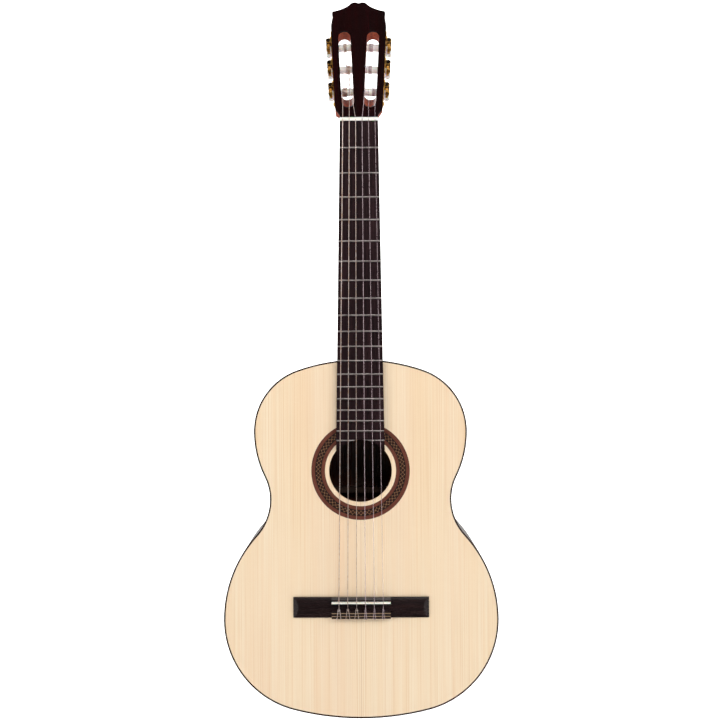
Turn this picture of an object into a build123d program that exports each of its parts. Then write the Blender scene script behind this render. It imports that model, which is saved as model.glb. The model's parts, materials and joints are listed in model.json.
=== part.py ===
from build123d import *
from math import acos, atan2, cos, degrees, hypot, pi, radians, sin, sqrt, tan
import os

os.makedirs("parts", exist_ok=True)

# Frame: +Z runs up the neck to the head, +X is the treble side, -Y is the front.
# The origin is on the centre line, where the nut meets the fretboard, on the plane of
# the soundboard's face. A "height" is measured out of that plane, towards -Y.

# ---- Scale and fretboard ---------------------------------------------------------
scale_length = 650.0
fret_count = 19
body_fret = 12
board_width_nut = 52.0
board_width_body = 62.0
board_thickness = 6.0
fret_crown_width = 2.2
fret_crown_height = 1.0
fret_tang_width = 0.6
fret_tang_depth = 1.8
fret_end_margin = 0.3
nut_thickness = 5.3
nut_height = 8.1
nut_bevel = (1.4, 3.0)
saddle_setback = 2.0

# ---- Body ------------------------------------------------------------------------
upper_bout = 290.0
waist = 247.0
lower_bout = 374.0
upper_bout_drop = 98.0
waist_drop = 190.0
lower_bout_drop = 354.0
tail_length = 134.5
shoulder_radius = 260.0
tail_radius = 370.0
upper_split = 0.67
lower_split = 0.70
body_depth = 104.0
back_radius = 4500.0
soundboard_thickness = 2.5
back_thickness = 2.8
rib_thickness = 2.2
binding_depth = 5.5
lining_width = 6.0
lining_depth = 13.0

# ---- Sound hole and rosette --------------------------------------------------------
hole_radius = 42.7
hole_drop = 151.5
rosette_gap = 5.7
rosette_inner_ring = 5.2
rosette_mosaic_ring = 7.9
rosette_outer_ring = 5.5
rosette_depth = 1.2

# ---- Bridge -------------------------------------------------------------------------
bridge_length = 184.5
bridge_width = 27.7
bridge_front_drop = 6.0
wing_height = 4.8
wing_edge = 2.4
wing_bevel = 7.5
wing_bevel_edge = 1.6
tie_block_length = 80.0
tie_block_height = 9.0
tie_block_width = 10.3
tie_hole_height = 5.0
saddle_ledge_height = 8.0
saddle_ledge_width = 8.5
trough_height = 3.6
saddle_length = 79.5
saddle_thickness = 2.4
saddle_height = 12.0
saddle_slot_floor = 4.0
inlay_width = 1.1
inlay_depth = 0.5
inlay_front_inset = 3.1
inlay_back_inset = 3.3

# ---- Strings: bass to treble ---------------------------------------------------------
string_names = ["low_e", "a", "d", "g", "b", "high_e"]
string_diameters = [1.09, 0.89, 0.74, 1.02, 0.82, 0.71]
string_height_nut = 7.5
string_spread_nut = 43.7
string_spread_saddle = 59.9
string_tail = 1.6
string_bend_radius = 3.0
wrap_turns = 3
wrap_clearance = 0.15

# ---- Neck ------------------------------------------------------------------------------
neck_depth_nut = 16.0
neck_depth_body = 18.0
neck_side = 2.0
neck_squareness = 2
heel_half_width = 30.0
heel_length = 62.0
heel_tip_half_width = 13.0
heel_tip_length = 16.0
heel_cap_thickness = 2.5
tenon_width = 20.0
tenon_length = 14.0
tenon_depth = 74.0

# ---- Headstock, in its own plane: s runs up the head from the nut ----------------------
head_tilt = 15.0
head_length = 181.5
head_thickness = 17.5
head_drop = 1.2
headplate_thickness = 2.5
head_flare = 20.0
head_flare_out = 6.7
head_side_angle = 2.85
shoulder_start = 140.0
notch_at = 157.0
crest_edge = 167.0
carve_length = 30.0
carve_width = 83.2
carve_depth = 22.75
carve_squareness = 4
slot_width = 17.0
slot_wall = 9.4
slot_end = 135.0
slot_front_start = 14.9
slot_ramp_angle = 50.0

# ---- Machine heads ------------------------------------------------------------------------
roller_first = 44.5
roller_pitch = 35.0
roller_depth = 9.0
roller_radius = 5.0
roller_play = 0.2
journal_radius = 3.45
running_gap = 0.05
journal_inner = 5.0
plate_thickness = 1.0
plate_width = 14.4
plate_end = 20.0
plate_corner = 3.0
cog_teeth = 14
cog_tip_radius = 6.9
cog_root_radius = 5.7
cog_thickness = 3.6
cog_standoff = 2.1
cog_post_radius = 2.4
cog_screw_length = 3.0
cog_screw_head_radius = 3.2
cog_screw_head_height = 1.5
screw_slot_width = 0.8
screw_slot_depth = 0.6
mesh_clearance = 0.3
worm_tip_radius = 3.4
worm_core_radius = 2.2
worm_turns = 3
thread_root_width = 1.35
thread_tip_width = 0.75
tooth_tip_width = 0.75
tooth_root_width = 1.25
joining_depth = 0.15
worm_shaft_radius = 1.6
ear_thickness = 1.4
ear_width = 7.0
ear_clearance = 0.9
end_play = 0.1
front_collar_radius = 2.5
front_collar_length = 1.0
back_collar_radius = 3.2
back_collar_length = 2.2
bolster_radius = 2.4
button_width = 15.0
button_depth = 17.0
button_thickness = 8.0
button_start = 13.5
button_grip = 10.2
button_rounding = 3.04
plate_screw_radius = 1.2
plate_screw_length = 8.5
plate_screw_head = 2.5
plate_screw_head_height = 1.4
plate_screw_head_taper = 25.0

# ---- Struts -----------------------------------------------------------------------------------
fan_count = 7
fan_length = 205.0
fan_width = 5.0
fan_height = 6.0
fan_spread_top = 15.0
fan_spread_bottom = 37.0
bar_width = 6.5
bar_height = 17.0
hole_ring_width = 12.0
hole_ring_thickness = 2.0
back_bar_width = 8.0
back_bar_height = 16.0
back_strip_width = 16.0
back_strip_height = 2.0
strip_gap = 0.5
block_width = 62.0
neck_block_length = 26.0
tail_block_length = 15.0

# ---- Worked-out places --------------------------------------------------------------------------
body_length = lower_bout_drop + tail_length
body_joint = -scale_length * (1 - 2 ** (-body_fret / 12))
half_neck = board_width_body / 2
body_top = body_joint + shoulder_radius - sqrt(shoulder_radius**2 - half_neck**2)
body_tail = body_top - body_length
hole_z = body_top - hole_drop
inner_ring_start = hole_radius + rosette_gap
mosaic_start = inner_ring_start + rosette_inner_ring
mosaic_end = mosaic_start + rosette_mosaic_ring
rosette_end = mosaic_end + rosette_outer_ring
saddle_z = -(scale_length + saddle_setback)
bridge_front = saddle_z + bridge_front_drop
bridge_back = bridge_front - bridge_width
dome_z = (body_top + body_tail) / 2
dome_y = body_depth - back_radius
back_inner = back_radius - back_thickness
taper = (board_width_body - board_width_nut) / abs(body_joint)
head_half_width = board_width_nut / 2 + head_flare_out
worm_distance = cog_tip_radius + worm_core_radius + mesh_clearance


def board_width(z):
    """Width of the tapered fretboard at a place along the neck."""
    return board_width_nut - z * taper


def fret_z(number):
    """Where a fret stands: each is a twelfth root of two nearer to the saddle."""
    return -scale_length * (1 - 2 ** (-number / 12))


# =================================================================================================
# Body outline: eight tangent arcs down the treble side, mirrored to the bass side
# =================================================================================================
def quarter_arcs(half_width, height, flat_radius):
    """Flat arc on the centre line, then a tight arc that ends parallel to it."""
    tight_radius = 2 * flat_radius * height - half_width**2 - height**2
    tight_radius /= 2 * (flat_radius - half_width)
    turn = atan2(half_width - tight_radius, flat_radius - height)
    return (flat_radius, turn), (tight_radius, pi / 2 - turn)


def wave_arcs(wide, narrow, height, split):
    """Two arcs that run from a bout to the waist, both ends parallel to the centre line."""
    turn = 2 * atan2((wide - narrow) / 2, height)
    both_radii = height / sin(turn)
    return (both_radii * split, turn), (both_radii * (1 - split), turn)


def body_outline(inset):
    """The body's outline as a face, moved inwards by inset all round."""
    flat, tight = quarter_arcs(upper_bout / 2, upper_bout_drop, shoulder_radius)
    upper, hollow = wave_arcs(upper_bout, waist, waist_drop - upper_bout_drop, upper_split)
    lower, rise = wave_arcs(lower_bout, waist, lower_bout_drop - waist_drop, lower_split)
    tail_flat, tail_tight = quarter_arcs(
        lower_bout / 2, body_length - lower_bout_drop, tail_radius
    )
    arcs = [flat, tight, upper, (-hollow[0], hollow[1])]
    arcs += [(-rise[0], rise[1]), lower, tail_tight, tail_flat]
    with BuildSketch() as shape:
        with BuildLine():
            start = (0, body_top - inset)
            heading = (1, 0)
            for radius, turn in arcs:
                inward = inset if radius > 0 else -inset
                side = -1 if radius > 0 else 1
                arc = JernArc(start, heading, abs(radius) - inward, side * degrees(turn))
                start = arc @ 1
                heading = arc % 1
            mirror(about=Plane.YZ)
        make_face()
    return shape.sketch


rim_face = body_outline(0)
inner_face = body_outline(rib_thickness)
cavity_face = body_outline(rib_thickness + lining_width)
beyond_back = body_depth + 10


def slab_plane(depth):
    """Plane parallel to the soundboard, a depth behind its face."""
    return Plane.XZ.offset(-depth)


with BuildPart() as soundboard:
    with BuildSketch(slab_plane(soundboard_thickness)):
        add(inner_face)
        with Locations((0, hole_z)):
            Circle(hole_radius, mode=Mode.SUBTRACT)
    extrude(amount=soundboard_thickness)
    with BuildSketch(slab_plane(rosette_depth)):
        with Locations((0, hole_z)):
            Circle(rosette_end)
            Circle(inner_ring_start, mode=Mode.SUBTRACT)
    extrude(amount=rosette_depth, mode=Mode.SUBTRACT)
soundboard.part.label = "soundboard"
export_step(soundboard.part, "parts/soundboard.step")

with BuildPart() as rosette_rings:
    for inner, outer in ((inner_ring_start, mosaic_start), (mosaic_end, rosette_end)):
        with BuildSketch(slab_plane(rosette_depth)):
            with Locations((0, hole_z)):
                Circle(outer)
                Circle(inner, mode=Mode.SUBTRACT)
        extrude(amount=rosette_depth)
rosette_rings.part.label = "rosette_rings"
export_step(rosette_rings.part, "parts/rosette_rings.step")

with BuildPart() as rosette_mosaic:
    with BuildSketch(slab_plane(rosette_depth)):
        with Locations((0, hole_z)):
            Circle(mosaic_end)
            Circle(mosaic_start, mode=Mode.SUBTRACT)
    extrude(amount=rosette_depth)
rosette_mosaic.part.label = "rosette_mosaic"
export_step(rosette_mosaic.part, "parts/rosette_mosaic.step")

with BuildPart() as binding_top:
    with BuildSketch(slab_plane(binding_depth)):
        add(rim_face)
        add(inner_face, mode=Mode.SUBTRACT)
    extrude(amount=binding_depth)
binding_top.part.label = "binding_top"
export_step(binding_top.part, "parts/binding_top.step")

with BuildPart() as binding_back:
    with BuildSketch(slab_plane(beyond_back)):
        add(rim_face)
        add(inner_face, mode=Mode.SUBTRACT)
    extrude(amount=beyond_back - body_depth / 2)
    with Locations((0, dome_y, dome_z)):
        Sphere(back_radius, mode=Mode.INTERSECT)
        Sphere(back_radius - binding_depth, mode=Mode.SUBTRACT)
binding_back.part.label = "binding_back"
export_step(binding_back.part, "parts/binding_back.step")

with BuildPart() as back:
    with BuildSketch(slab_plane(beyond_back)):
        add(inner_face)
    extrude(amount=beyond_back - body_depth / 2)
    with Locations((0, dome_y, dome_z)):
        Sphere(back_radius, mode=Mode.INTERSECT)
        Sphere(back_inner, mode=Mode.SUBTRACT)
back.part.label = "back"
export_step(back.part, "parts/back.step")

# The neck's tenon passes between the two ribs into the neck block.
tenon_height = tenon_depth - binding_depth
tenon_centre = binding_depth + tenon_height / 2
with BuildPart() as rib_ring:
    with BuildSketch(slab_plane(beyond_back)):
        add(rim_face)
        add(inner_face, mode=Mode.SUBTRACT)
    extrude(amount=beyond_back - binding_depth)
    with Locations((0, dome_y, dome_z)):
        Sphere(back_radius - binding_depth, mode=Mode.INTERSECT)
    with Locations((0, tenon_centre, body_top)):
        Box(tenon_width, tenon_height, 4 * rib_thickness, mode=Mode.SUBTRACT)

with BuildPart() as side_treble:
    add(rib_ring.part)
    split(bisect_by=Plane.YZ, keep=Keep.TOP)
side_treble.part.label = "side_treble"
export_step(side_treble.part, "parts/side_treble.step")

with BuildPart() as side_bass:
    add(rib_ring.part)
    split(bisect_by=Plane.YZ, keep=Keep.BOTTOM)
side_bass.part.label = "side_bass"
export_step(side_bass.part, "parts/side_bass.step")

# ---- End blocks and linings, inside the ribs -----------------------------------------------------
block_top = body_top - rib_thickness - neck_block_length
block_tail = body_tail + rib_thickness + tail_block_length
with BuildPart() as end_blocks:
    with BuildSketch(slab_plane(beyond_back)):
        add(inner_face)
        with Locations((0, (block_top + block_tail) / 2)):
            Rectangle(lower_bout, block_top - block_tail, mode=Mode.SUBTRACT)
        with Locations((0, dome_z)):
            Rectangle(block_width, body_length, mode=Mode.INTERSECT)
    extrude(amount=beyond_back - soundboard_thickness)
    with Locations((0, dome_y, dome_z)):
        Sphere(back_inner, mode=Mode.INTERSECT)
    with Locations((0, tenon_centre, body_top)):
        Box(tenon_width, tenon_height, 2 * tenon_length, mode=Mode.SUBTRACT)
end_blocks.part.label = "end_blocks"
export_step(end_blocks.part, "parts/end_blocks.step")

with BuildPart() as linings:
    with BuildSketch(slab_plane(soundboard_thickness + lining_depth)):
        add(inner_face)
        add(cavity_face, mode=Mode.SUBTRACT)
        with Locations((0, dome_z)):
            Rectangle(block_width, body_length, mode=Mode.SUBTRACT)
    extrude(amount=lining_depth)
    with BuildSketch(slab_plane(beyond_back)):
        add(inner_face)
        add(cavity_face, mode=Mode.SUBTRACT)
        with Locations((0, dome_z)):
            Rectangle(block_width, body_length, mode=Mode.SUBTRACT)
    extrude(amount=beyond_back - body_depth / 2)
    with Locations((0, dome_y, dome_z)):
        Sphere(back_inner, mode=Mode.INTERSECT)
    with BuildSketch(slab_plane(body_depth - 1.5 * lining_depth)):
        add(rim_face)
    extrude(amount=body_depth - soundboard_thickness - 2.5 * lining_depth, mode=Mode.SUBTRACT)
linings.part.label = "linings"
export_step(linings.part, "parts/linings.step")

# ---- Struts glued under the soundboard ------------------------------------------------------------
upper_bar_z = hole_z + hole_radius + hole_ring_width + bar_width
lower_bar_z = hole_z - hole_radius - hole_ring_width - bar_width
fan_top = lower_bar_z - 2 * bar_width
with BuildPart() as top_braces:
    with BuildSketch(slab_plane(soundboard_thickness + fan_height)):
        for index in range(fan_count):
            place = index - (fan_count - 1) / 2
            lean = atan2(place * (fan_spread_bottom - fan_spread_top), fan_length)
            centre_x = place * (fan_spread_bottom + fan_spread_top) / 2
            with Locations(Location((centre_x, fan_top - fan_length / 2, 0), (0, 0, degrees(lean)))):
                Rectangle(fan_width, fan_length)
        add(cavity_face, mode=Mode.INTERSECT)
    extrude(amount=fan_height)
    with BuildSketch(slab_plane(soundboard_thickness + bar_height)):
        with Locations((0, upper_bar_z), (0, lower_bar_z)):
            Rectangle(lower_bout, bar_width)
        add(cavity_face, mode=Mode.INTERSECT)
    extrude(amount=bar_height)
    with BuildSketch(slab_plane(soundboard_thickness + hole_ring_thickness)):
        with Locations((0, hole_z)):
            Circle(hole_radius + hole_ring_width)
            Circle(hole_radius, mode=Mode.SUBTRACT)
    extrude(amount=hole_ring_thickness)
top_braces.part.label = "top_braces"
export_step(top_braces.part, "parts/top_braces.step")

# ---- Struts glued on the inside of the back ---------------------------------------------------------
back_bars = [
    body_top - upper_bout_drop,
    body_top - waist_drop,
    body_top - lower_bout_drop - back_bar_width,
]
strip_ends = [block_top] + back_bars + [block_tail]
with BuildPart() as back_braces:
    with BuildSketch(slab_plane(beyond_back)):
        for bar_z in back_bars:
            with Locations((0, bar_z)):
                Rectangle(lower_bout, back_bar_width)
        add(cavity_face, mode=Mode.INTERSECT)
    extrude(amount=beyond_back - body_depth / 2)
    with Locations((0, dome_y, dome_z)):
        Sphere(back_inner, mode=Mode.INTERSECT)
        Sphere(back_inner - back_bar_height, mode=Mode.SUBTRACT)

with BuildPart() as back_strips:
    for upper_end, lower_end in zip(strip_ends, strip_ends[1:]):
        reach = back_bar_width / 2 + strip_gap
        with BuildSketch(slab_plane(beyond_back)):
            with Locations((0, (upper_end + lower_end) / 2)):
                Rectangle(back_strip_width, upper_end - lower_end - 2 * reach)
        extrude(amount=beyond_back - body_depth / 2)
    with Locations((0, dome_y, dome_z)):
        Sphere(back_inner, mode=Mode.INTERSECT)
        Sphere(back_inner - back_strip_height, mode=Mode.SUBTRACT)

with BuildPart() as back_struts:
    add(back_braces.part)
    add(back_strips.part)
back_struts.part.label = "back_braces"
export_step(back_struts.part, "parts/back_braces.step")


# =================================================================================================
# Neck: a rounded shaft, a heel that runs down to the back, and a tenon
# =================================================================================================
def shaft_profile(width, depth, squareness):
    """Flat top, short straight sides, and a round back; 2 is an ellipse, more is squarer."""
    curve_depth = depth - neck_side
    points = []
    for step in range(9):
        angle = pi * step / 8
        across = abs(cos(angle)) ** (2 / squareness)
        down = abs(sin(angle)) ** (2 / squareness)
        side = 1 if step < 4 else -1
        points.append((side * across * width / 2, neck_side + curve_depth * down))
    points[4] = (0, depth)
    with BuildSketch() as profile:
        with BuildLine():
            Line((-width / 2, 0), (width / 2, 0))
            Line((width / 2, 0), points[0])
            Spline(points, tangents=[(0, 1), (0, -1)])
            Line(points[-1], (-width / 2, 0))
        make_face()
    return profile.sketch


tilt = radians(head_tilt)
head_origin = Vector(0, head_drop, nut_thickness)
head_up = Vector(0, sin(tilt), cos(tilt))
head_front = Vector(0, -cos(tilt), sin(tilt))
head_face = Plane(origin=head_origin, x_dir=(1, 0, 0), z_dir=head_front)
neck_cut = Plane(origin=head_origin, x_dir=(1, 0, 0), z_dir=head_up)
shaft_top = shaft_profile(board_width_nut, neck_depth_nut, neck_squareness)
shaft_end = shaft_profile(board_width_body, neck_depth_body, neck_squareness)
heel_base = body_top - 2 * rib_thickness


def heel_half_axes(depth):
    """Half width and length of the heel's half-ellipse at a depth: a concave sweep."""
    share = min(depth / body_depth, 1)
    slim = (1 - share) ** 2
    half_width = heel_tip_half_width + (heel_half_width - heel_tip_half_width) * (1 - share**0.8)
    length = heel_tip_length + (heel_length - heel_tip_length) * slim
    return half_width, length + 2 * rib_thickness


heel_sections = [0.06, 0.25, 0.5, 0.75, 1.04]
with BuildPart() as heel:
    for share in heel_sections:
        half_width, length = heel_half_axes(share * body_depth)
        with BuildSketch(slab_plane(share * body_depth)):
            with BuildLine():
                Line((-half_width, heel_base), (half_width, heel_base))
                EllipticalCenterArc((0, heel_base), half_width, length, start_angle=0, arc_size=180)
            make_face()
    loft()

with BuildPart() as neck:
    add(heel.part)
    with Locations((0, dome_y, dome_z)):
        Sphere(back_radius - heel_cap_thickness, mode=Mode.INTERSECT)
    with BuildSketch(Plane.XY.offset(2 * nut_thickness)):
        add(shaft_top)
    with BuildSketch(Plane.XY.offset(heel_base)):
        add(shaft_end)
    loft()
    with BuildSketch(slab_plane(beyond_back)):
        add(rim_face)
    extrude(amount=beyond_back + board_thickness, mode=Mode.SUBTRACT)
    with Locations((0, tenon_centre, body_top)):
        Box(tenon_width, tenon_height, 2 * tenon_length)
    split(bisect_by=neck_cut, keep=Keep.BOTTOM)
neck.part.label = "neck"
export_step(neck.part, "parts/neck.step")

with BuildPart() as heel_cap:
    add(heel.part)
    with Locations((0, dome_y, dome_z)):
        Sphere(back_radius, mode=Mode.INTERSECT)
        Sphere(back_radius - heel_cap_thickness, mode=Mode.SUBTRACT)
    with BuildSketch(slab_plane(beyond_back)):
        add(rim_face)
    extrude(amount=beyond_back, mode=Mode.SUBTRACT)
heel_cap.part.label = "heel_cap"
export_step(heel_cap.part, "parts/heel_cap.step")

# =================================================================================================
# Fretboard and frets
# =================================================================================================
# The board ends where its sides meet the sound hole, and follows the hole between them.
board_end = hole_z + sqrt(hole_radius**2 - (board_width(hole_z) / 2) ** 2)
with BuildPart() as fretboard:
    with BuildSketch(Plane.XZ):
        with BuildLine():
            Polyline(
                (-board_width_nut / 2, 0),
                (board_width_nut / 2, 0),
                (board_width(board_end) / 2, board_end),
                (-board_width(board_end) / 2, board_end),
                close=True,
            )
        make_face()
        with Locations((0, hole_z)):
            Circle(hole_radius, mode=Mode.SUBTRACT)
    extrude(amount=board_thickness)
    for number in range(1, fret_count + 1):
        with Locations((0, -board_thickness, fret_z(number))):
            Box(board_width_body * 2, 2 * fret_tang_depth, fret_tang_width, mode=Mode.SUBTRACT)
fretboard.part.label = "fretboard"
export_step(fretboard.part, "parts/fretboard.step")

with BuildPart() as frets:
    for number in range(1, fret_count + 1):
        fret_length = board_width(fret_z(number)) - 2 * fret_end_margin
        place = fret_z(number)
        with BuildSketch(Plane.YZ):
            with BuildLine():
                Line((-board_thickness, place - fret_crown_width / 2),
                     (-board_thickness, place + fret_crown_width / 2))
                ThreePointArc((-board_thickness, place + fret_crown_width / 2),
                              (-board_thickness - fret_crown_height, place),
                              (-board_thickness, place - fret_crown_width / 2))
            make_face()
            with Locations((-board_thickness + fret_tang_depth / 2, place)):
                Rectangle(fret_tang_depth, fret_tang_width)
        extrude(amount=fret_length / 2, both=True)
    with BuildSketch(Plane.XZ):
        with Locations((0, hole_z)):
            Circle(hole_radius)
    extrude(amount=2 * board_thickness, mode=Mode.SUBTRACT)
frets.part.label = "frets"
export_step(frets.part, "parts/frets.step")


# =================================================================================================
# Headstock: an outline in the tilted plane, two slots with ramps, and a veneer on its face
# =================================================================================================
side_slope = tan(radians(head_side_angle))


def head_half(s):
    """Half width of the straight part of the head's side."""
    return head_half_width + (s - head_flare) * side_slope


def slot_centre(s):
    """Distance of a slot's middle from the centre line."""
    return head_half(s) - (slot_wall + slot_width / 2) / cos(radians(head_side_angle))


shoulder_width = head_half(shoulder_start)
along_side = (side_slope, 1)
with BuildSketch() as head_outline:
    with BuildLine():
        Spline(
            (board_width_nut / 2, 0),
            (board_width_nut / 2 + 1.0, 5.0),
            (head_half_width - 1.8, 10.5),
            (head_half_width, head_flare),
            tangents=[(0, 1), along_side],
        )
        Line((head_half_width, head_flare), (shoulder_width, shoulder_start))
        Spline(
            (shoulder_width, shoulder_start),
            (shoulder_width - 0.7, shoulder_start + 10),
            (shoulder_width - 2.3, notch_at),
            tangents=[along_side, (-0.35, 1)],
        )
        Spline(
            (shoulder_width - 2.3, notch_at),
            (shoulder_width - 1.3, notch_at + 4.5),
            (shoulder_width - 2.6, crest_edge),
            tangents=[(0.6, 1), (-1, 0.6)],
        )
        Spline(
            (shoulder_width - 2.6, crest_edge),
            (shoulder_width - 15.5, crest_edge + 4.0),
            (14.5, head_length - 5.5),
            (4.6, head_length),
            tangents=[(-1, 0.12), (-1, 0)],
        )
        Spline((4.6, head_length), (0, head_length - 1.4), tangents=[(-1, 0), (-1, 0)])
        mirror(about=Plane.YZ)
        Line((-board_width_nut / 2, 0), (board_width_nut / 2, 0))
    make_face()

stadium_low = slot_front_start + (head_thickness + headplate_thickness) * tan(
    radians(slot_ramp_angle)
)


def slot_stadium(low, high, side):
    """Slot outline with round ends between two places up the head, along the head's side."""
    middle = (low + high) / 2
    length = (high - low) / cos(radians(head_side_angle))
    turn = (0, 0, 90 - side * head_side_angle)
    return Location((side * slot_centre(middle), middle, 0), turn), length


with BuildPart() as slot_cuts:
    for side in (-1, 1):
        place, length = slot_stadium(stadium_low, slot_end, side)
        with BuildSketch(head_face.offset(headplate_thickness)):
            with Locations(place):
                SlotOverall(length, slot_width)
        extrude(amount=-2 * head_thickness)
        place, length = slot_stadium(slot_front_start, (stadium_low + slot_end) / 2, side)
        with BuildSketch(head_face.offset(headplate_thickness)):
            with Locations(place):
                SlotOverall(length, slot_width)
        slot_up = head_up * cos(radians(head_side_angle))
        slot_up += Vector(side * sin(radians(head_side_angle)), 0, 0)
        ramp = slot_up * sin(radians(slot_ramp_angle)) - head_front * cos(radians(slot_ramp_angle))
        ramp_length = (head_thickness + headplate_thickness) / cos(radians(slot_ramp_angle))
        extrude(amount=ramp_length + slot_width / 4, dir=ramp)

# The carving behind the nut blends the round neck into the square head.
with BuildPart() as head_carving:
    with BuildSketch(neck_cut):
        carve_start_depth = (neck_depth_nut - head_drop) / cos(tilt)
        add(shaft_profile(board_width_nut, carve_start_depth, neck_squareness))
    with BuildSketch(neck_cut.offset(carve_length)):
        add(shaft_profile(carve_width, carve_depth, carve_squareness))
    loft()

with BuildPart() as carve_block:
    with BuildSketch(head_face.offset(-neck_side / 2)):
        with Locations((0, carve_length / 2)):
            Rectangle(board_width_nut * 2, carve_length)
    extrude(amount=-2 * head_thickness)
    add(head_carving.part, mode=Mode.SUBTRACT)

# Machine head planes, treble side: local x runs up the head, y to the front, z outwards.
side_up = head_up * cos(radians(head_side_angle)) + Vector(sin(radians(head_side_angle)), 0, 0)
side_out = Vector(cos(radians(head_side_angle)), 0, 0) - head_up * sin(radians(head_side_angle))
roller_places = [roller_first + index * roller_pitch for index in range(3)]


def side_point(s):
    """Point on the head's treble side at the rollers' depth."""
    return head_origin + head_up * s + Vector(head_half(s), 0, 0) - head_front * roller_depth


tuner_planes = [Plane(origin=side_point(s), x_dir=side_up, z_dir=side_out) for s in roller_places]
screw_places = [-roller_pitch / 2, roller_pitch / 2, 1.5 * roller_pitch, 2.5 * roller_pitch]
slot_inner_wall = -(slot_wall + slot_width)

with BuildPart() as head_bores:
    for plane in tuner_planes:
        with BuildSketch(plane.offset(slot_inner_wall - journal_inner - roller_play)):
            Circle(journal_radius + running_gap)
        extrude(amount=journal_inner + roller_play + slot_width + slot_wall + 1)
    with BuildSketch(tuner_planes[0].offset(-plate_screw_length)):
        with Locations(*[(place, 0) for place in screw_places]):
            Circle(plate_screw_radius)
    extrude(amount=plate_screw_length + 1)
    mirror(about=Plane.YZ)

with BuildPart() as headstock:
    with BuildSketch(head_face):
        add(head_outline.sketch)
    extrude(amount=-head_thickness)
    add(slot_cuts.part, mode=Mode.SUBTRACT)
    add(carve_block.part, mode=Mode.SUBTRACT)
    add(head_bores.part, mode=Mode.SUBTRACT)
headstock.part.label = "headstock"
export_step(headstock.part, "parts/headstock.step")

with BuildPart() as headplate:
    with BuildSketch(head_face):
        add(head_outline.sketch)
    extrude(amount=headplate_thickness)
    add(slot_cuts.part, mode=Mode.SUBTRACT)
headplate.part.label = "headplate"
export_step(headplate.part, "parts/headplate.step")

# =================================================================================================
# Machine heads
# =================================================================================================
worm_lead = 2 * pi * (cog_tip_radius + cog_root_radius) / 2 / cog_teeth
worm_half = worm_turns * worm_lead / 2
ear_inner = worm_half + ear_clearance
cog_base = plate_thickness + cog_standoff
cog_middle = cog_base + cog_thickness / 2
cog_top = cog_base + cog_thickness


def worm_plane(plane):
    """Plane across a worm's axis: z to the front, x towards the cog."""
    centre = plane.origin + plane.x_dir * worm_distance + plane.z_dir * cog_middle
    return Plane(origin=centre, x_dir=-plane.x_dir, z_dir=plane.y_dir)


with BuildPart() as plate_treble:
    plate_low = -plate_end
    plate_high = 2 * roller_pitch + plate_end + worm_distance / 2
    with BuildSketch(tuner_planes[0]):
        with Locations(((plate_low + plate_high) / 2, 0)):
            RectangleRounded(plate_high - plate_low, plate_width, plate_corner)
    extrude(amount=plate_thickness)
    for plane in tuner_planes:
        for front in (-1, 1):
            ear_centre = plane.origin + plane.y_dir * front * (ear_inner + ear_thickness / 2)
            ear_centre += plane.x_dir * worm_distance
            ear_plane = Plane(origin=ear_centre, x_dir=plane.x_dir, z_dir=plane.y_dir)
            with BuildSketch(ear_plane.offset(-ear_thickness / 2)):
                with Locations((0, -cog_middle / 2)):
                    Rectangle(ear_width, cog_middle)
                with Locations((0, -cog_middle)):
                    Circle(ear_width / 2)
            extrude(amount=ear_thickness)
        with BuildSketch(worm_plane(plane).offset(-2 * ear_inner)):
            Circle(worm_shaft_radius + running_gap)
        extrude(amount=4 * ear_inner, mode=Mode.SUBTRACT)
        with BuildSketch(plane):
            Circle(journal_radius + running_gap)
        extrude(amount=plate_thickness, mode=Mode.SUBTRACT)
    with BuildSketch(tuner_planes[0]):
        with Locations(*[(place, 0) for place in screw_places]):
            Circle(plate_screw_radius)
    extrude(amount=plate_thickness, mode=Mode.SUBTRACT)

with BuildPart() as tuner_plates:
    add(plate_treble.part)
    mirror(about=Plane.YZ)
tuner_plates.part.label = "tuner_plates"
export_step(tuner_plates.part, "parts/tuner_plates.step")

with BuildPart() as plate_screws:
    for place in screw_places:
        screw_origin = tuner_planes[0].origin + tuner_planes[0].x_dir * place
        screw_plane = Plane(origin=screw_origin, x_dir=tuner_planes[0].x_dir, z_dir=side_out)
        with BuildSketch(screw_plane.offset(-plate_screw_length)):
            Circle(plate_screw_radius)
        extrude(amount=plate_screw_length + plate_thickness)
        with BuildSketch(screw_plane.offset(plate_thickness)):
            Circle(plate_screw_head)
        extrude(amount=plate_screw_head_height, taper=plate_screw_head_taper)
    mirror(about=Plane.YZ)
plate_screws.part.label = "plate_screws"
export_step(plate_screws.part, "parts/plate_screws.step")


def make_roller(plane):
    """Barrel between the slot's walls, with a journal at each end and the cog's post."""
    with BuildPart() as roller:
        with BuildSketch(plane.offset(slot_inner_wall + roller_play)):
            Circle(roller_radius)
        extrude(amount=slot_width - 2 * roller_play)
        with BuildSketch(plane.offset(slot_inner_wall - journal_inner)):
            Circle(journal_radius)
        extrude(amount=journal_inner + slot_width + slot_wall + cog_base)
        with BuildSketch(plane.offset(cog_base)):
            Circle(cog_post_radius)
        extrude(amount=cog_thickness)
        with BuildSketch(plane.offset(cog_top - cog_screw_length)):
            Circle(plate_screw_radius)
        extrude(amount=cog_screw_length, mode=Mode.SUBTRACT)
    return roller.part


def make_cog(plane):
    """Cog with trapezoid teeth; one tooth points up the head at the worm."""
    with BuildPart() as cog:
        with BuildSketch(plane.offset(cog_base)):
            Circle(cog_root_radius)
            with PolarLocations(0, cog_teeth):
                Polygon(
                    (cog_root_radius - 2 * joining_depth, -tooth_root_width / 2),
                    (cog_tip_radius, -tooth_tip_width / 2),
                    (cog_tip_radius, tooth_tip_width / 2),
                    (cog_root_radius - 2 * joining_depth, tooth_root_width / 2),
                    align=None,
                )
            Circle(cog_post_radius, mode=Mode.SUBTRACT)
        extrude(amount=cog_thickness)
    return cog.part


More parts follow.
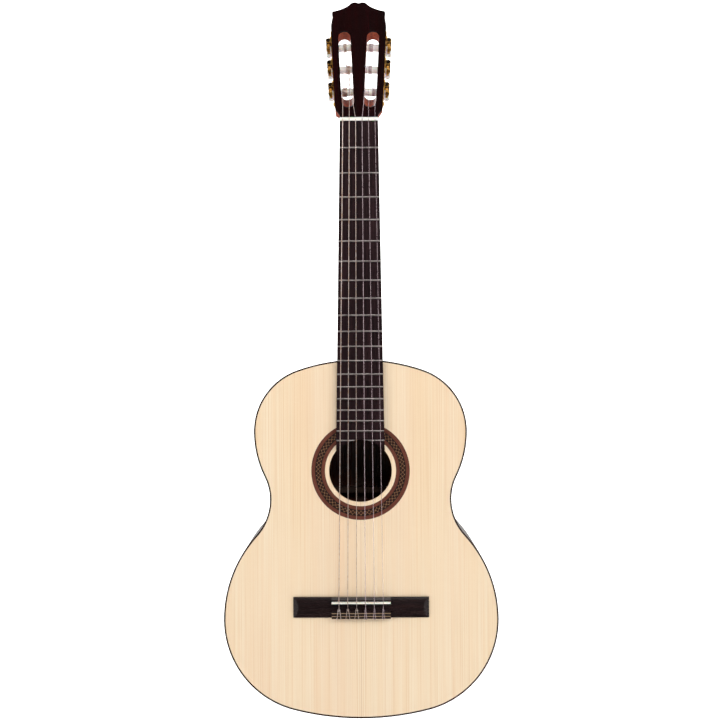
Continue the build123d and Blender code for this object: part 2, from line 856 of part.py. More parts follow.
def make_cog_screw(plane):
    """Cheese-head screw that holds the cog on the roller's post."""
    with BuildPart() as screw:
        with BuildSketch(plane.offset(cog_top - cog_screw_length)):
            Circle(plate_screw_radius)
        extrude(amount=cog_screw_length)
        with BuildSketch(plane.offset(cog_top)):
            Circle(cog_screw_head_radius)
        extrude(amount=cog_screw_head_height)
        with BuildSketch(plane.offset(cog_top + cog_screw_head_height - screw_slot_depth)):
            Rectangle(2.5 * cog_screw_head_radius, screw_slot_width)
        extrude(amount=cog_screw_head_height, mode=Mode.SUBTRACT)
    return screw.part


def make_thread():
    """One-start thread about the Z axis: a trapezoid swept along a helix from the +X side."""
    with BuildPart() as thread:
        with BuildLine():
            Helix(worm_lead, worm_turns * worm_lead, worm_core_radius)
        with BuildSketch(Plane.XZ):
            Polygon(
                (worm_core_radius - joining_depth, -thread_root_width / 2),
                (worm_tip_radius, -thread_tip_width / 2),
                (worm_tip_radius, thread_tip_width / 2),
                (worm_core_radius - joining_depth, thread_root_width / 2),
                align=None,
            )
        sweep(is_frenet=True)
    return thread.part


thread_shape = make_thread()
ear_outer = ear_inner + ear_thickness + end_play
worm_tail = -button_start - button_grip


def make_worm(plane):
    """Shaft in the two ears, with its thread in mesh with the cog and a collar at each end."""
    axis_plane = worm_plane(plane)
    placed_thread = axis_plane.offset(-worm_half).location * thread_shape
    with BuildPart() as worm:
        with BuildSketch(axis_plane.offset(worm_tail)):
            Circle(worm_shaft_radius)
        extrude(amount=ear_outer - worm_tail)
        for low, high, radius in (
            (ear_outer, ear_outer + front_collar_length, front_collar_radius),
            (-button_start, -ear_outer, bolster_radius),
            (-ear_outer - back_collar_length, -ear_outer, back_collar_radius),
            (end_play - ear_inner, ear_inner - end_play, worm_core_radius),
        ):
            with BuildSketch(axis_plane.offset(low)):
                Circle(radius)
            extrude(amount=high - low)
        add(placed_thread)
    return worm.part


def make_button(plane):
    """Flat oval button, pressed on the worm shaft's tail."""
    axis_plane = worm_plane(plane)
    middle = axis_plane.origin - axis_plane.z_dir * (button_start + button_depth / 2)
    button_plane = Plane(origin=middle, x_dir=plane.x_dir, z_dir=plane.z_dir)
    with BuildPart() as button:
        with BuildSketch(button_plane):
            Ellipse(button_width / 2, button_depth / 2)
        extrude(amount=button_thickness / 2, both=True)
        fillet(button.edges(), radius=button_rounding)
        with BuildSketch(axis_plane.offset(worm_tail)):
            Circle(worm_shaft_radius)
        extrude(amount=button_depth, mode=Mode.SUBTRACT)
    return button.part


tuner_makers = {
    "roller": make_roller,
    "cog": make_cog,
    "cog_screw": make_cog_screw,
    "worm_shaft": make_worm,
    "button": make_button,
}
treble_tuners = [
    {piece: maker(plane) for piece, maker in tuner_makers.items()} for plane in tuner_planes
]

# The lowest and highest strings go to the rollers nearest the nut.
for index, string_name in enumerate(string_names):
    tuner = treble_tuners[min(index, 5 - index)]
    for piece, shape in tuner.items():
        with BuildPart() as tuner_piece:
            if index < 3:
                mirror(shape, about=Plane.YZ)
            else:
                add(shape)
        tuner_piece.part.label = f"{piece}_{string_name}"
        export_step(tuner_piece.part, f"parts/{piece}_{string_name}.step")

# =================================================================================================
# Strings, each one solid from the tie block to the turns on its roller
# =================================================================================================
wrap_offsets = [0.5, -2.0, -4.5, 4.0, 4.5, 2.5]
slot_middle = slot_inner_wall + slot_width / 2
tie_block_front = bridge_back + tie_block_width


def string_route(index):
    """Points of a string on the treble side of the centre line, and the centre of its turns."""
    radius = string_diameters[index] / 2
    place = abs(index - 2.5) / 5
    at_saddle = place * string_spread_saddle
    at_nut = place * string_spread_nut
    plane = tuner_planes[min(index, 5 - index)]
    nut_point = Vector(at_nut, -string_height_nut - radius, nut_thickness / 3)
    turns_centre = plane.origin + plane.z_dir * (slot_middle + wrap_offsets[index])
    local_nut = plane.to_local_coords(nut_point)
    reach = roller_radius + wrap_clearance + radius
    towards_nut = atan2(local_nut.Y, local_nut.X)
    tangent = towards_nut - acos(reach / hypot(local_nut.X, local_nut.Y))
    on_roller = turns_centre + plane.x_dir * (reach * cos(tangent))
    on_roller += plane.y_dir * (reach * sin(tangent))
    points = [
        Vector(at_saddle, -tie_hole_height, bridge_back - string_tail),
        Vector(at_saddle, -tie_hole_height, tie_block_front + 1),
        Vector(at_saddle, -saddle_height - radius, saddle_z),
        nut_point,
        on_roller,
    ]
    return points, turns_centre, plane


def make_string(index):
    """The string's run, and its turns on the roller as one ring."""
    radius = string_diameters[index] / 2
    points, turns_centre, plane = string_route(index)
    with BuildPart() as string:
        with BuildLine():
            route = FilletPolyline(*points, radius=string_bend_radius)
        with BuildSketch(Plane(origin=route @ 0, z_dir=route % 0)):
            Circle(radius)
        sweep()
        ring_plane = Plane(origin=turns_centre, x_dir=plane.y_dir, z_dir=plane.x_dir)
        with BuildSketch(ring_plane):
            with Locations((roller_radius + wrap_clearance + radius, 0)):
                RectangleRounded(2 * radius, 2 * radius * wrap_turns, 0.9 * radius)
        revolve(axis=Axis(turns_centre, plane.z_dir))
    return string.part


strings = []
for index, string_name in enumerate(string_names):
    treble_shape = make_string(index)
    with BuildPart() as string:
        if index < 3:
            mirror(treble_shape, about=Plane.YZ)
        else:
            add(treble_shape)
    string.part.label = f"string_{string_name}"
    export_step(string.part, f"parts/string_{string_name}.step")
    strings.append(string.part)

# =================================================================================================
# Nut, saddle and bridge
# =================================================================================================
with BuildPart() as nut:
    with Locations((0, -nut_height / 2, nut_thickness / 2)):
        Box(board_width_nut, nut_height, nut_thickness)
    far_edge = nut.edges().filter_by(Axis.X).sort_by(Axis.Y)[:2].sort_by(Axis.Z)[-1]
    chamfer(far_edge, length=nut_bevel[0], length2=nut_bevel[1])
    for string in strings:
        add(string, mode=Mode.SUBTRACT)
nut.part.label = "nut"
export_step(nut.part, "parts/nut.step")

with BuildPart() as saddle:
    saddle_rise = saddle_height - saddle_slot_floor
    with Locations((0, -saddle_slot_floor - saddle_rise / 2, saddle_z)):
        Box(saddle_length, saddle_rise, saddle_thickness)
    top_edges = saddle.edges().filter_by(Axis.X).sort_by(Axis.Y)[:2]
    fillet(top_edges, radius=0.45 * saddle_thickness)
    for string in strings:
        add(string, mode=Mode.SUBTRACT)
saddle.part.label = "saddle"
export_step(saddle.part, "parts/saddle.step")

inlay_places = [tie_block_front - inlay_front_inset, bridge_back + inlay_back_inset]
with BuildPart() as bridge_tie_inlay:
    for place in inlay_places:
        with Locations((0, -tie_block_height + inlay_depth / 2, place)):
            Box(tie_block_length, inlay_depth, inlay_width)
bridge_tie_inlay.part.label = "bridge_tie_inlay"
export_step(bridge_tie_inlay.part, "parts/bridge_tie_inlay.step")

with BuildPart() as bridge:
    with BuildSketch(Plane.YZ):
        with BuildLine():
            Polyline(
                (-wing_edge, bridge_front),
                (0, bridge_front),
                (0, bridge_back),
                (-wing_edge, bridge_back),
            )
            ThreePointArc(
                (-wing_edge, bridge_back),
                (-wing_height, (bridge_front + bridge_back) / 2),
                (-wing_edge, bridge_front),
            )
        make_face()
    extrude(amount=bridge_length / 2, both=True)
    with BuildSketch(Plane.XY.offset(bridge_back - 1)):
        with BuildLine():
            Polyline(
                (bridge_length / 2 - wing_bevel, -wing_height - 0.1),
                (bridge_length / 2 + 1, -wing_height - 0.1),
                (bridge_length / 2 + 1, -wing_bevel_edge),
                (bridge_length / 2, -wing_bevel_edge),
                close=True,
            )
        make_face()
        mirror(about=Plane.YZ)
    extrude(amount=bridge_width + 2, mode=Mode.SUBTRACT)
    ledge_back = saddle_z - saddle_ledge_width / 2
    with BuildSketch(Plane.YZ):
        with BuildLine():
            Polyline(
                (0, bridge_front),
                (-wing_edge - 2.0, bridge_front),
                (-saddle_ledge_height, saddle_z + saddle_ledge_width / 2 - 1),
                (-saddle_ledge_height, ledge_back),
                (-trough_height, ledge_back - 0.8),
                (-trough_height, tie_block_front),
                (-tie_block_height, tie_block_front),
                (-tie_block_height, bridge_back),
                (0, bridge_back),
                close=True,
            )
        make_face()
    extrude(amount=tie_block_length / 2, both=True)
    with Locations((0, -saddle_slot_floor - saddle_height / 2, saddle_z)):
        Box(saddle_length, saddle_height, saddle_thickness, mode=Mode.SUBTRACT)
    add(bridge_tie_inlay.part, mode=Mode.SUBTRACT)
    for string in strings:
        add(string, mode=Mode.SUBTRACT)
bridge.part.label = "bridge"
export_step(bridge.part, "parts/bridge.step")
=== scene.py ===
import json
from math import acos, atan2, cos, hypot, pi, radians, sin

import bmesh
import bpy
from mathutils import Matrix, Vector


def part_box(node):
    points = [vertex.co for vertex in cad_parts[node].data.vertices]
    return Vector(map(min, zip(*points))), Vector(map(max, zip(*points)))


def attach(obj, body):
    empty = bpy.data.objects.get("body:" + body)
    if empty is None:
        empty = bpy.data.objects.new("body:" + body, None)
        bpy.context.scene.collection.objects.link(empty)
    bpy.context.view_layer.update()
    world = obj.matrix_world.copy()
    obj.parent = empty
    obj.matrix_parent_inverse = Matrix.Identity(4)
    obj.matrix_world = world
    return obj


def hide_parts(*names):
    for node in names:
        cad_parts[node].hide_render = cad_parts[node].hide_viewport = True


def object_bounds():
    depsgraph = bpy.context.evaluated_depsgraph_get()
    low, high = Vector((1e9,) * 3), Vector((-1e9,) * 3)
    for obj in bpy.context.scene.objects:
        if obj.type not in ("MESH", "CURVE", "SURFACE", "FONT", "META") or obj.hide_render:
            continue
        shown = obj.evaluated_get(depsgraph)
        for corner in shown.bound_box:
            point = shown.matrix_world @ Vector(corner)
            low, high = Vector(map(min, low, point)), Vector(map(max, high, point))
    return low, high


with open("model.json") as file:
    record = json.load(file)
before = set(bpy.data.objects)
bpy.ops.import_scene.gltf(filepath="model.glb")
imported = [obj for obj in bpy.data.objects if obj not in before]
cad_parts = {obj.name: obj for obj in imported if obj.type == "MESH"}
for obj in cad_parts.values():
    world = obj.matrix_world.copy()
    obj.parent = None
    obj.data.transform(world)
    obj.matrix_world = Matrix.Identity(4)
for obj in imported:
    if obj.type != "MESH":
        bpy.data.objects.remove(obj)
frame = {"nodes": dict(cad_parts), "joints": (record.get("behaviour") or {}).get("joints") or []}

# Classical guitar. The frame has +Z up the neck, +X to the treble side and -Y to the front;
# a "height" is measured out of the soundboard's face, towards -Y. Lengths are in metres.
cad_low, cad_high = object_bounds()
mm = 0.001
joints = {joint["name"]: joint for joint in frame["joints"]}
nodes = frame["nodes"]
string_names = ["low_e", "a", "d", "g", "b", "high_e"]
wound_names = string_names[:3]

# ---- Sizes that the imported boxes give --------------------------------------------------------
bridge_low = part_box("bridge")[0]
saddle_low, saddle_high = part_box("saddle")
nut_low, nut_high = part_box("nut")
inlay_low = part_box("bridge_tie_inlay")[0]
mosaic_low, mosaic_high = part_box("rosette_mosaic")
hole_z = (mosaic_low.z + mosaic_high.z) / 2
tie_block_height = -inlay_low.y
saddle_height = -saddle_low.y
saddle_z = (saddle_low.z + saddle_high.z) / 2
head_tilt = atan2(joints["tune_g"]["axis"][2], -joints["tune_g"]["axis"][1])

# ---- Strings and their turns -----------------------------------------------------------------
string_diameters = [1.09 * mm, 0.89 * mm, 0.74 * mm, 1.02 * mm, 0.82 * mm, 0.71 * mm]
string_spread_nut = 43.7 * mm
string_spread_saddle = 59.9 * mm
string_height_nut = 7.5 * mm
tie_hole_height = 5 * mm
tie_block_width = 10.3 * mm
roller_radius = 5 * mm
wrap_clearance = 0.15 * mm
wrap_turns = 5
wrap_steps = 28
wrap_pitch_in_radii = 2.04
# The string's end lifts off the roller after its last turn.
end_steps = 4
end_step_angle = 0.15
end_step_lift = 0.25 * mm
# The loop's offsets across the tie block are multiplied by its spread.
loop_spread_bass = 1.45
loop_spread_treble = 0.75
loop_rise = 0.08 * mm
# How far before and after a bend the string starts to turn.
hole_bend = 0.8 * mm
rest_bend = 1.2 * mm
# Out along a roller from its joint: the slot's middle, and from there each string's first turn.
slot_middle = -17.9 * mm
first_turns = [6.0 * mm, -5.2 * mm, 1.7 * mm, -5.0 * mm, -4.0 * mm, 6.3 * mm]

# ---- Rosette ---------------------------------------------------------------------------------
ring_inner = 48.4 * mm
mosaic_inner = 53.6 * mm
mosaic_columns = 384
mosaic_rows = 9
mosaic_period = 6


# ==============================================================================================
# Materials: every one is a small node tree in the object's own coordinates
# ==============================================================================================
class NodeTree:
    """A node tree, with short calls that add nodes and join them."""

    def __init__(self, tree):
        self.tree = tree

    def set(self, node, inputs):
        for name, value in inputs.items():
            key = name.replace("_", " ") if isinstance(name, str) else name
            if isinstance(value, bpy.types.NodeSocket):
                self.tree.links.new(value, node.inputs[key])
            else:
                node.inputs[key].default_value = value

    def add(self, kind, inputs=None, **settings):
        node = self.tree.nodes.new(kind)
        for name, value in settings.items():
            setattr(node, name, value)
        self.set(node, inputs or {})
        return node

    def math(self, operation, first, second=0.0):
        return self.add("ShaderNodeMath", {0: first, 1: second}, operation=operation).outputs[0]

    def spread(self, value, low, high, to_low=0.0, to_high=1.0):
        inputs = {"Value": value, "From Min": low, "From Max": high}
        inputs.update({"To Min": to_low, "To Max": to_high})
        return self.add("ShaderNodeMapRange", inputs).outputs[0]


class Finish(NodeTree):
    """A material and its node tree."""

    def __init__(self, name, **inputs):
        self.material = bpy.data.materials.new(name)
        self.material.use_nodes = True
        super().__init__(self.material.node_tree)
        self.shader = self.tree.nodes["Principled BSDF"]
        self.coordinates = self.add("ShaderNodeTexCoord").outputs["Object"]
        self.set(self.shader, inputs)

    def mirrored(self):
        """Coordinates with the bass half folded onto the treble half, as in a bookmatched plate."""
        split = self.add("ShaderNodeSeparateXYZ", {0: self.coordinates})
        across = self.math("ABSOLUTE", split.outputs[0])
        return self.add(
            "ShaderNodeCombineXYZ", {0: across, 1: split.outputs[1], 2: split.outputs[2]}
        ).outputs[0]

    def stretched(self, vector, scale, tilt=0.0):
        """Coordinates squeezed along the grain, so that noise in them draws long streaks."""
        turned = self.add("ShaderNodeMapping", {"Vector": vector, "Rotation": (tilt, 0, 0)})
        squeezed = {"Vector": turned.outputs[0], "Scale": scale}
        return self.add("ShaderNodeMapping", squeezed).outputs[0]

    def noise(self, vector, scale, detail=4.0, roughness=0.55, distortion=0.0):
        inputs = {"Vector": vector, "Scale": scale, "Detail": detail}
        inputs.update({"Roughness": roughness, "Distortion": distortion})
        return self.add("ShaderNodeTexNoise", inputs).outputs["Fac"]

    def ramp(self, value, *stops):
        node = self.add("ShaderNodeValToRGB", {0: value})
        elements = node.color_ramp.elements
        while len(elements) < len(stops):
            elements.new(0.5)
        for element, (place, colour) in zip(elements, stops):
            element.position = place
            element.color = (*colour, 1)
        return node.outputs[0]

    def mix(self, factor, first, second):
        node = self.add("ShaderNodeMix", data_type="RGBA")
        # Socket 0 is the factor, and 6 and 7 are the two colours.
        for index, value in ((0, factor), (6, first), (7, second)):
            colour = isinstance(value, tuple)
            self.set(node, {index: (*value, 1) if colour else value})
        return node.outputs[2]

    def bump(self, height, distance, strength=1.0, normal=None):
        inputs = {"Height": height, "Distance": distance, "Strength": strength}
        if normal is not None:
            inputs["Normal"] = normal
        return self.add("ShaderNodeBump", inputs).outputs[0]

    def colour(self, value):
        self.set(self.shader, {"Base Color": value})

    def rough(self, value):
        self.set(self.shader, {"Roughness": value})

    def normal(self, value):
        self.set(self.shader, {"Normal": value})


def srgb(red, green, blue):
    """Linear colour of an 8-bit screen colour."""
    return tuple(
        c / 12.92 if c <= 0.04045 else ((c + 0.055) / 1.055) ** 2.4
        for c in (red / 255, green / 255, blue / 255)
    )


def streaked_wood(name, light, middle, dark, grain, roughness, tilt=0.0, pores=0.5, book=False,
                  streak=0.5, **inputs):
    """Timber with dark streaks and open pores; grain is the scale that squeezes them."""
    finish = Finish(name, **inputs)
    base = finish.mirrored() if book else finish.coordinates
    vector = finish.stretched(base, grain, tilt)
    broad = finish.noise(vector, 45, 3, 0.5, 0.6)
    lines = finish.noise(vector, 330, 5, 0.65, 0.25)
    pore_grain = tuple(g if g == 1 else 2.2 * g for g in grain)
    pore = finish.noise(finish.stretched(base, pore_grain, tilt), 1900, 1, 0.4)
    tone = finish.ramp(lines, (0.30, dark), (0.48, middle), (0.72, light))
    streaks = finish.spread(broad, 0.38, 0.62)
    tone = finish.mix(finish.math("MULTIPLY", streaks, streak), tone, dark)
    pits = finish.spread(pore, 0.60, 0.68)
    tone = finish.mix(finish.math("MULTIPLY", pits, pores), tone, tuple(0.35 * c for c in dark))
    finish.colour(tone)
    finish.rough(finish.spread(lines, 0.3, 0.7, roughness + 0.06, roughness - 0.03))
    pits_bump = finish.bump(finish.math("SUBTRACT", 1.0, pits), 0.02 * mm, 0.5 * pores + 0.1)
    finish.normal(finish.bump(lines, 0.05 * mm, 0.25, pits_bump))
    return finish.material


def make_spruce():
    """Bookmatched top: fine annual rings, soft warm bands, and faint silk across the grain."""
    finish = Finish("spruce", Coat_Weight=0.35, Coat_Roughness=0.12, Specular_IOR_Level=0.4)
    book = finish.mirrored()
    rings_vector = finish.stretched(book, (1, 1, 0.004))
    rings = finish.noise(rings_vector, 820, 2, 0.5)
    bands = finish.noise(finish.stretched(book, (1, 1, 0.02)), 70, 3, 0.55, 0.15)
    broad = finish.noise(finish.stretched(finish.coordinates, (1, 1, 0.12)), 14, 2, 0.5)
    silk = finish.noise(finish.stretched(finish.coordinates, (0.16, 1, 1)), 520, 3, 0.6, 0.3)
    tone = finish.ramp(
        rings,
        (0.30, srgb(236, 205, 165)), (0.46, srgb(247, 224, 192)), (0.70, srgb(250, 230, 201)),
    )
    warm = finish.spread(bands, 0.40, 0.70)
    tone = finish.mix(finish.math("MULTIPLY", warm, 0.42), tone, srgb(241, 203, 155))
    blush = finish.spread(broad, 0.45, 0.75)
    tone = finish.mix(finish.math("MULTIPLY", blush, 0.35), tone, srgb(240, 203, 170))
    flecks = finish.spread(silk, 0.58, 0.75)
    tone = finish.mix(finish.math("MULTIPLY", flecks, 0.16), tone, srgb(255, 238, 212))
    split = finish.add("ShaderNodeSeparateXYZ", {0: finish.coordinates})
    from_seam = finish.math("ABSOLUTE", split.outputs[0])
    seam = finish.spread(from_seam, 0.15 * mm, 0.35 * mm, 0.35, 0.0)
    tone = finish.mix(seam, tone, srgb(170, 125, 85))
    finish.colour(tone)
    finish.rough(finish.spread(rings, 0.3, 0.7, 0.38, 0.30))
    finish.normal(finish.bump(rings, 0.03 * mm, 0.25))
    return finish.material


def ring_wood(name, light, dark):
    """Bent strips of a rosette ring: the grain follows the circle round the sound hole."""
    finish = Finish(name, Coat_Weight=0.35, Coat_Roughness=0.12)
    split = finish.add("ShaderNodeSeparateXYZ", {0: finish.coordinates})
    up = finish.math("SUBTRACT", split.outputs[2], hole_z)
    across_squared = finish.math("MULTIPLY", split.outputs[0], split.outputs[0])
    squared = finish.math("ADD", across_squared, finish.math("MULTIPLY", up, up))
    radius = finish.math("SQRT", squared)
    angle = finish.math("ARCTAN2", up, split.outputs[0])
    grain_squeeze = 3 * mm
    arc = finish.math("MULTIPLY", angle, grain_squeeze)
    vector = finish.add("ShaderNodeCombineXYZ", {0: radius, 1: arc, 2: 0.0}).outputs[0]
    lines = finish.noise(vector, 1300, 3, 0.6)
    blotch = finish.noise(finish.coordinates, 90, 2, 0.5)
    tone = finish.ramp(lines, (0.32, dark), (0.62, light))
    tone = finish.mix(finish.spread(blotch, 0.4, 0.7, 0.0, 0.4), tone, dark)
    edges = [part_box("rosette_rings")[1].x, mosaic_high.x, mosaic_inner, ring_inner]
    for edge in edges:
        gap = finish.math("ABSOLUTE", finish.math("SUBTRACT", radius, edge))
        line = finish.spread(gap, 0.25 * mm, 0.4 * mm, 0.85, 0.0)
        tone = finish.mix(line, tone, srgb(30, 14, 12))
    finish.colour(tone)
    finish.rough(finish.spread(lines, 0.3, 0.7, 0.36, 0.28))
    finish.normal(finish.bump(lines, 0.02 * mm, 0.3))
    return finish.material


def veneer_chip(name, light, dark):
    """One of the dyed woods that the mosaic's little squares are cut from."""
    finish = Finish(name, Coat_Weight=0.35, Coat_Roughness=0.12)
    grain = finish.noise(finish.coordinates, 2600, 3, 0.6)
    finish.colour(finish.ramp(grain, (0.35, dark), (0.65, light)))
    finish.rough(finish.spread(grain, 0.3, 0.7, 0.38, 0.28))
    finish.normal(finish.bump(grain, 0.01 * mm, 0.3))
    return finish.material


def polished_metal(name, light, dark, roughness, scratches=0.4):
    """Plated or drawn metal: smudges change its gloss, and fine scratches its normal."""
    finish = Finish(name, Metallic=1.0)
    smudge = finish.noise(finish.coordinates, 160, 4, 0.6)
    fine = finish.noise(finish.stretched(finish.coordinates, (1, 1, 0.06)), 5200, 2, 0.5)
    finish.colour(finish.ramp(smudge, (0.30, dark), (0.62, light)))
    finish.rough(finish.spread(smudge, 0.3, 0.75, roughness - 0.05, roughness + 0.14))
    finish.normal(finish.bump(fine, 0.01 * mm, scratches))
    return finish.material


def make_bone():
    """Nut and saddle: off-white, with faint long streaks and a satin polish."""
    finish = Finish("bone", Subsurface_Weight=0.15, Subsurface_Scale=2 * mm, Specular_IOR_Level=0.5)
    vector = finish.stretched(finish.coordinates, (0.12, 1, 1))
    streaks = finish.noise(vector, 900, 4, 0.6)
    specks = finish.noise(finish.coordinates, 2600, 2, 0.5)
    tone = finish.ramp(streaks, (0.30, srgb(232, 226, 210)), (0.65, srgb(253, 251, 244)))
    tone = finish.mix(finish.spread(specks, 0.62, 0.72, 0.0, 0.3), tone, srgb(205, 192, 165))
    finish.colour(tone)
    finish.rough(finish.spread(streaks, 0.3, 0.7, 0.38, 0.28))
    finish.normal(finish.bump(streaks, 0.01 * mm, 0.3))
    return finish.material


def make_pearl():
    """Moulded pearl plastic: swirled white and grey layers under a clear surface."""
    finish = Finish("pearl", Subsurface_Weight=0.25, Subsurface_Scale=3 * mm, Coat_Weight=0.7)
    finish.set(finish.shader, {"Coat Roughness": 0.06})
    swirl = finish.noise(finish.coordinates, 120, 5, 0.55, 2.2)
    cloud = finish.noise(finish.coordinates, 420, 3, 0.5, 1.2)
    tone = finish.ramp(
        swirl,
        (0.32, srgb(178, 168, 160)), (0.46, srgb(214, 208, 202)),
        (0.58, srgb(238, 234, 228)), (0.72, srgb(194, 188, 184)),
    )
    tone = finish.mix(finish.spread(cloud, 0.45, 0.7, 0.0, 0.35), tone, srgb(255, 250, 238))
    finish.colour(tone)
    finish.rough(finish.spread(swirl, 0.3, 0.7, 0.34, 0.18))
    finish.normal(finish.bump(cloud, 0.02 * mm, 0.15))
    return finish.material


def make_roller_plastic():
    """Cream moulded barrels, a little dirty where the strings rub."""
    finish = Finish(
        "roller_plastic", Subsurface_Weight=0.15, Subsurface_Scale=2 * mm, Coat_Weight=0.2
    )
    dirt = finish.noise(finish.coordinates, 260, 4, 0.6)
    grain = finish.noise(finish.coordinates, 3000, 2, 0.5)
    finish.colour(finish.ramp(dirt, (0.30, srgb(242, 236, 226)), (0.60, srgb(255, 254, 250))))
    finish.rough(finish.spread(dirt, 0.3, 0.7, 0.42, 0.28))
    finish.normal(finish.bump(grain, 0.01 * mm, 0.25))
    return finish.material


def make_wound():
    """Silver-plated wire wound round the bass strings: close rings along the length."""
    finish = Finish("wound_wire", Metallic=0.7)
    split = finish.add("ShaderNodeSeparateXYZ", {0: finish.coordinates})
    wire_width = 0.28 * mm
    phase = finish.math("MULTIPLY", split.outputs[2], 2 * pi / wire_width)
    rings = finish.math("SINE", phase)
    tarnish = finish.noise(finish.coordinates, 240, 4, 0.6)
    tone = finish.ramp(tarnish, (0.34, srgb(204, 170, 146)), (0.60, srgb(226, 212, 206)))
    finish.colour(tone)
    finish.rough(finish.spread(tarnish, 0.3, 0.7, 0.42, 0.26))
    finish.normal(finish.bump(rings, 0.02 * mm, 0.5))
    return finish.material


def make_nylon():
    """Clear drawn nylon: most of what lies behind shows through its lilac-grey body."""
    finish = Finish("nylon", Alpha=0.4, IOR=1.53, Specular_IOR_Level=0.4)
    cloud = finish.noise(finish.coordinates, 300, 3, 0.5)
    draw_lines = finish.noise(finish.stretched(finish.coordinates, (1, 1, 0.02)), 6000, 2, 0.5)
    finish.colour(finish.ramp(cloud, (0.35, srgb(196, 172, 178)), (0.65, srgb(226, 206, 210))))
    finish.rough(finish.spread(cloud, 0.3, 0.7, 0.26, 0.16))
    finish.normal(finish.bump(draw_lines, 0.01 * mm, 0.2))
    return finish.material


# Scales that squeeze the coordinates along the grain.
along_z = (1, 1, 0.035)
along_x = (0.035, 1, 1)
along_rim = (0.03, 1, 0.03)
gloss = {"Coat_Weight": 0.4, "Coat_Roughness": 0.08, "Specular_IOR_Level": 0.4}
satin = {"Coat_Weight": 0.1, "Coat_Roughness": 0.3, "Specular_IOR_Level": 0.35}

spruce = make_spruce()
rosewood_back = streaked_wood(
    "rosewood_back", srgb(108, 62, 42), srgb(80, 42, 29), srgb(38, 18, 14), along_z, 0.26,
    book=True, streak=0.8, **gloss,
)
rosewood_side = streaked_wood(
    "rosewood_side", srgb(118, 70, 48), srgb(88, 48, 33), srgb(44, 21, 16), along_rim, 0.26,
    streak=0.8, **gloss,
)
binding_wood = streaked_wood(
    "binding_wood", srgb(74, 48, 40), srgb(58, 36, 31), srgb(36, 20, 18), along_rim, 0.26, **gloss
)
lining_wood = streaked_wood(
    "lining_wood", srgb(205, 165, 118), srgb(190, 146, 98), srgb(150, 106, 66), along_z, 0.6,
    streak=0.3,
)
mahogany = streaked_wood(
    "mahogany", srgb(164, 82, 48), srgb(136, 62, 36), srgb(88, 36, 22), along_z, 0.36, streak=0.4,
    **satin,
)
# Headstock mahogany: its grain tilts with the head and its gloss is low, and its colours are a
# brighter copy of the neck's mahogany, painted light that lifts the shade inside the tuner slots.
mahogany_head_painted_light = streaked_wood(
    "mahogany_head_painted_light", srgb(188, 92, 52), srgb(158, 69, 39), srgb(102, 39, 24), along_z, 0.4,
    tilt=head_tilt, streak=0.4, Specular_IOR_Level=0.12,
)
head_veneer = streaked_wood(
    "head_veneer", srgb(38, 5, 7), srgb(26, 3, 4), srgb(14, 2, 2), along_z, 0.22,
    tilt=head_tilt, streak=0.6, Specular_IOR_Level=0.2,
)
heel_veneer = streaked_wood(
    "heel_veneer", srgb(58, 20, 18), srgb(42, 11, 11), srgb(22, 5, 6), along_z, 0.24, **gloss
)
fretboard_wood = streaked_wood(
    "fretboard_wood", srgb(56, 35, 38), srgb(41, 25, 28), srgb(22, 13, 15), along_z, 0.5,
    streak=0.5, pores=0.8, Specular_IOR_Level=0.07,
)
bridge_wood = streaked_wood(
    "bridge_wood", srgb(48, 30, 29), srgb(36, 22, 22), srgb(22, 12, 12), along_x, 0.26,
    pores=0.7, Specular_IOR_Level=0.6,
)
rosette_wood = ring_wood("rosette_wood", srgb(122, 68, 53), srgb(86, 43, 33))
fret_metal = polished_metal("fret_metal", srgb(206, 196, 192), srgb(172, 162, 158), 0.42)
gold = polished_metal("gold_plate", srgb(240, 194, 112), srgb(200, 146, 76), 0.27)
worm_steel = polished_metal("worm_metal", srgb(84, 66, 50), srgb(40, 31, 26), 0.26)
# Back brace wood: a darker copy of the top braces' wood, painted shade for the inside of the body
# seen through the sound hole.
strut_wood_painted_shade = streaked_wood(
    "strut_wood_painted_shade", srgb(84, 54, 36), srgb(66, 41, 28), srgb(42, 26, 18), along_z, 0.6, streak=0.3
)
inlay_strip = streaked_wood(
    "inlay_strip", srgb(176, 152, 124), srgb(150, 126, 100), srgb(112, 90, 72), along_x, 0.4,
    pores=0.3, Specular_IOR_Level=0.3,
)
bone = make_bone()
pearl = make_pearl()
roller_plastic = make_roller_plastic()
wound_wire = make_wound()
nylon = make_nylon()
mosaic_woods = [
    veneer_chip("mosaic_dark", srgb(26, 11, 8), srgb(16, 6, 5)),
    veneer_chip("mosaic_brown", srgb(156, 104, 78), srgb(126, 80, 58)),
    veneer_chip("mosaic_olive", srgb(186, 164, 122), srgb(150, 128, 92)),
]

node_finishes = {
    "soundboard": spruce, "back": rosewood_back, "side_bass": rosewood_side,
    "side_treble": rosewood_side, "binding_top": binding_wood, "binding_back": binding_wood,
    "linings": lining_wood, "end_blocks": mahogany, "top_braces": lining_wood,
    "back_braces": strut_wood_painted_shade, "neck": mahogany, "headstock": mahogany_head_painted_light,
    "heel_cap": heel_veneer, "headplate": head_veneer, "fretboard": fretboard_wood,
    "frets": fret_metal, "nut": bone, "saddle": bone, "bridge": bridge_wood,
    "bridge_tie_inlay": inlay_strip, "rosette_rings": rosette_wood, "tuner_plates": gold,
    "plate_screws": gold,
}
for name in string_names:
    node_finishes[f"worm_shaft_{name}"] = worm_steel
    node_finishes[f"button_{name}"] = pearl
    node_finishes[f"roller_{name}"] = roller_plastic
    node_finishes[f"cog_{name}"] = gold
    node_finishes[f"cog_screw_{name}"] = gold

for name, material in node_finishes.items():
    mesh = nodes[name].data
    mesh.materials.clear()
    mesh.materials.append(material)


# ==============================================================================================
# Pieces built here in place of plain CAD solids
# ==============================================================================================
def new_piece(name, mesh, materials, body, slot, *replaced):
    """A finished mesh as a piece that rides on a body and stands for CAD nodes."""
    piece = bpy.data.objects.new(name, mesh)
    bpy.context.scene.collection.objects.link(piece)
    for material in materials:
        mesh.materials.append(material)
    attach(piece, body)
    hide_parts(*replaced)
    return piece


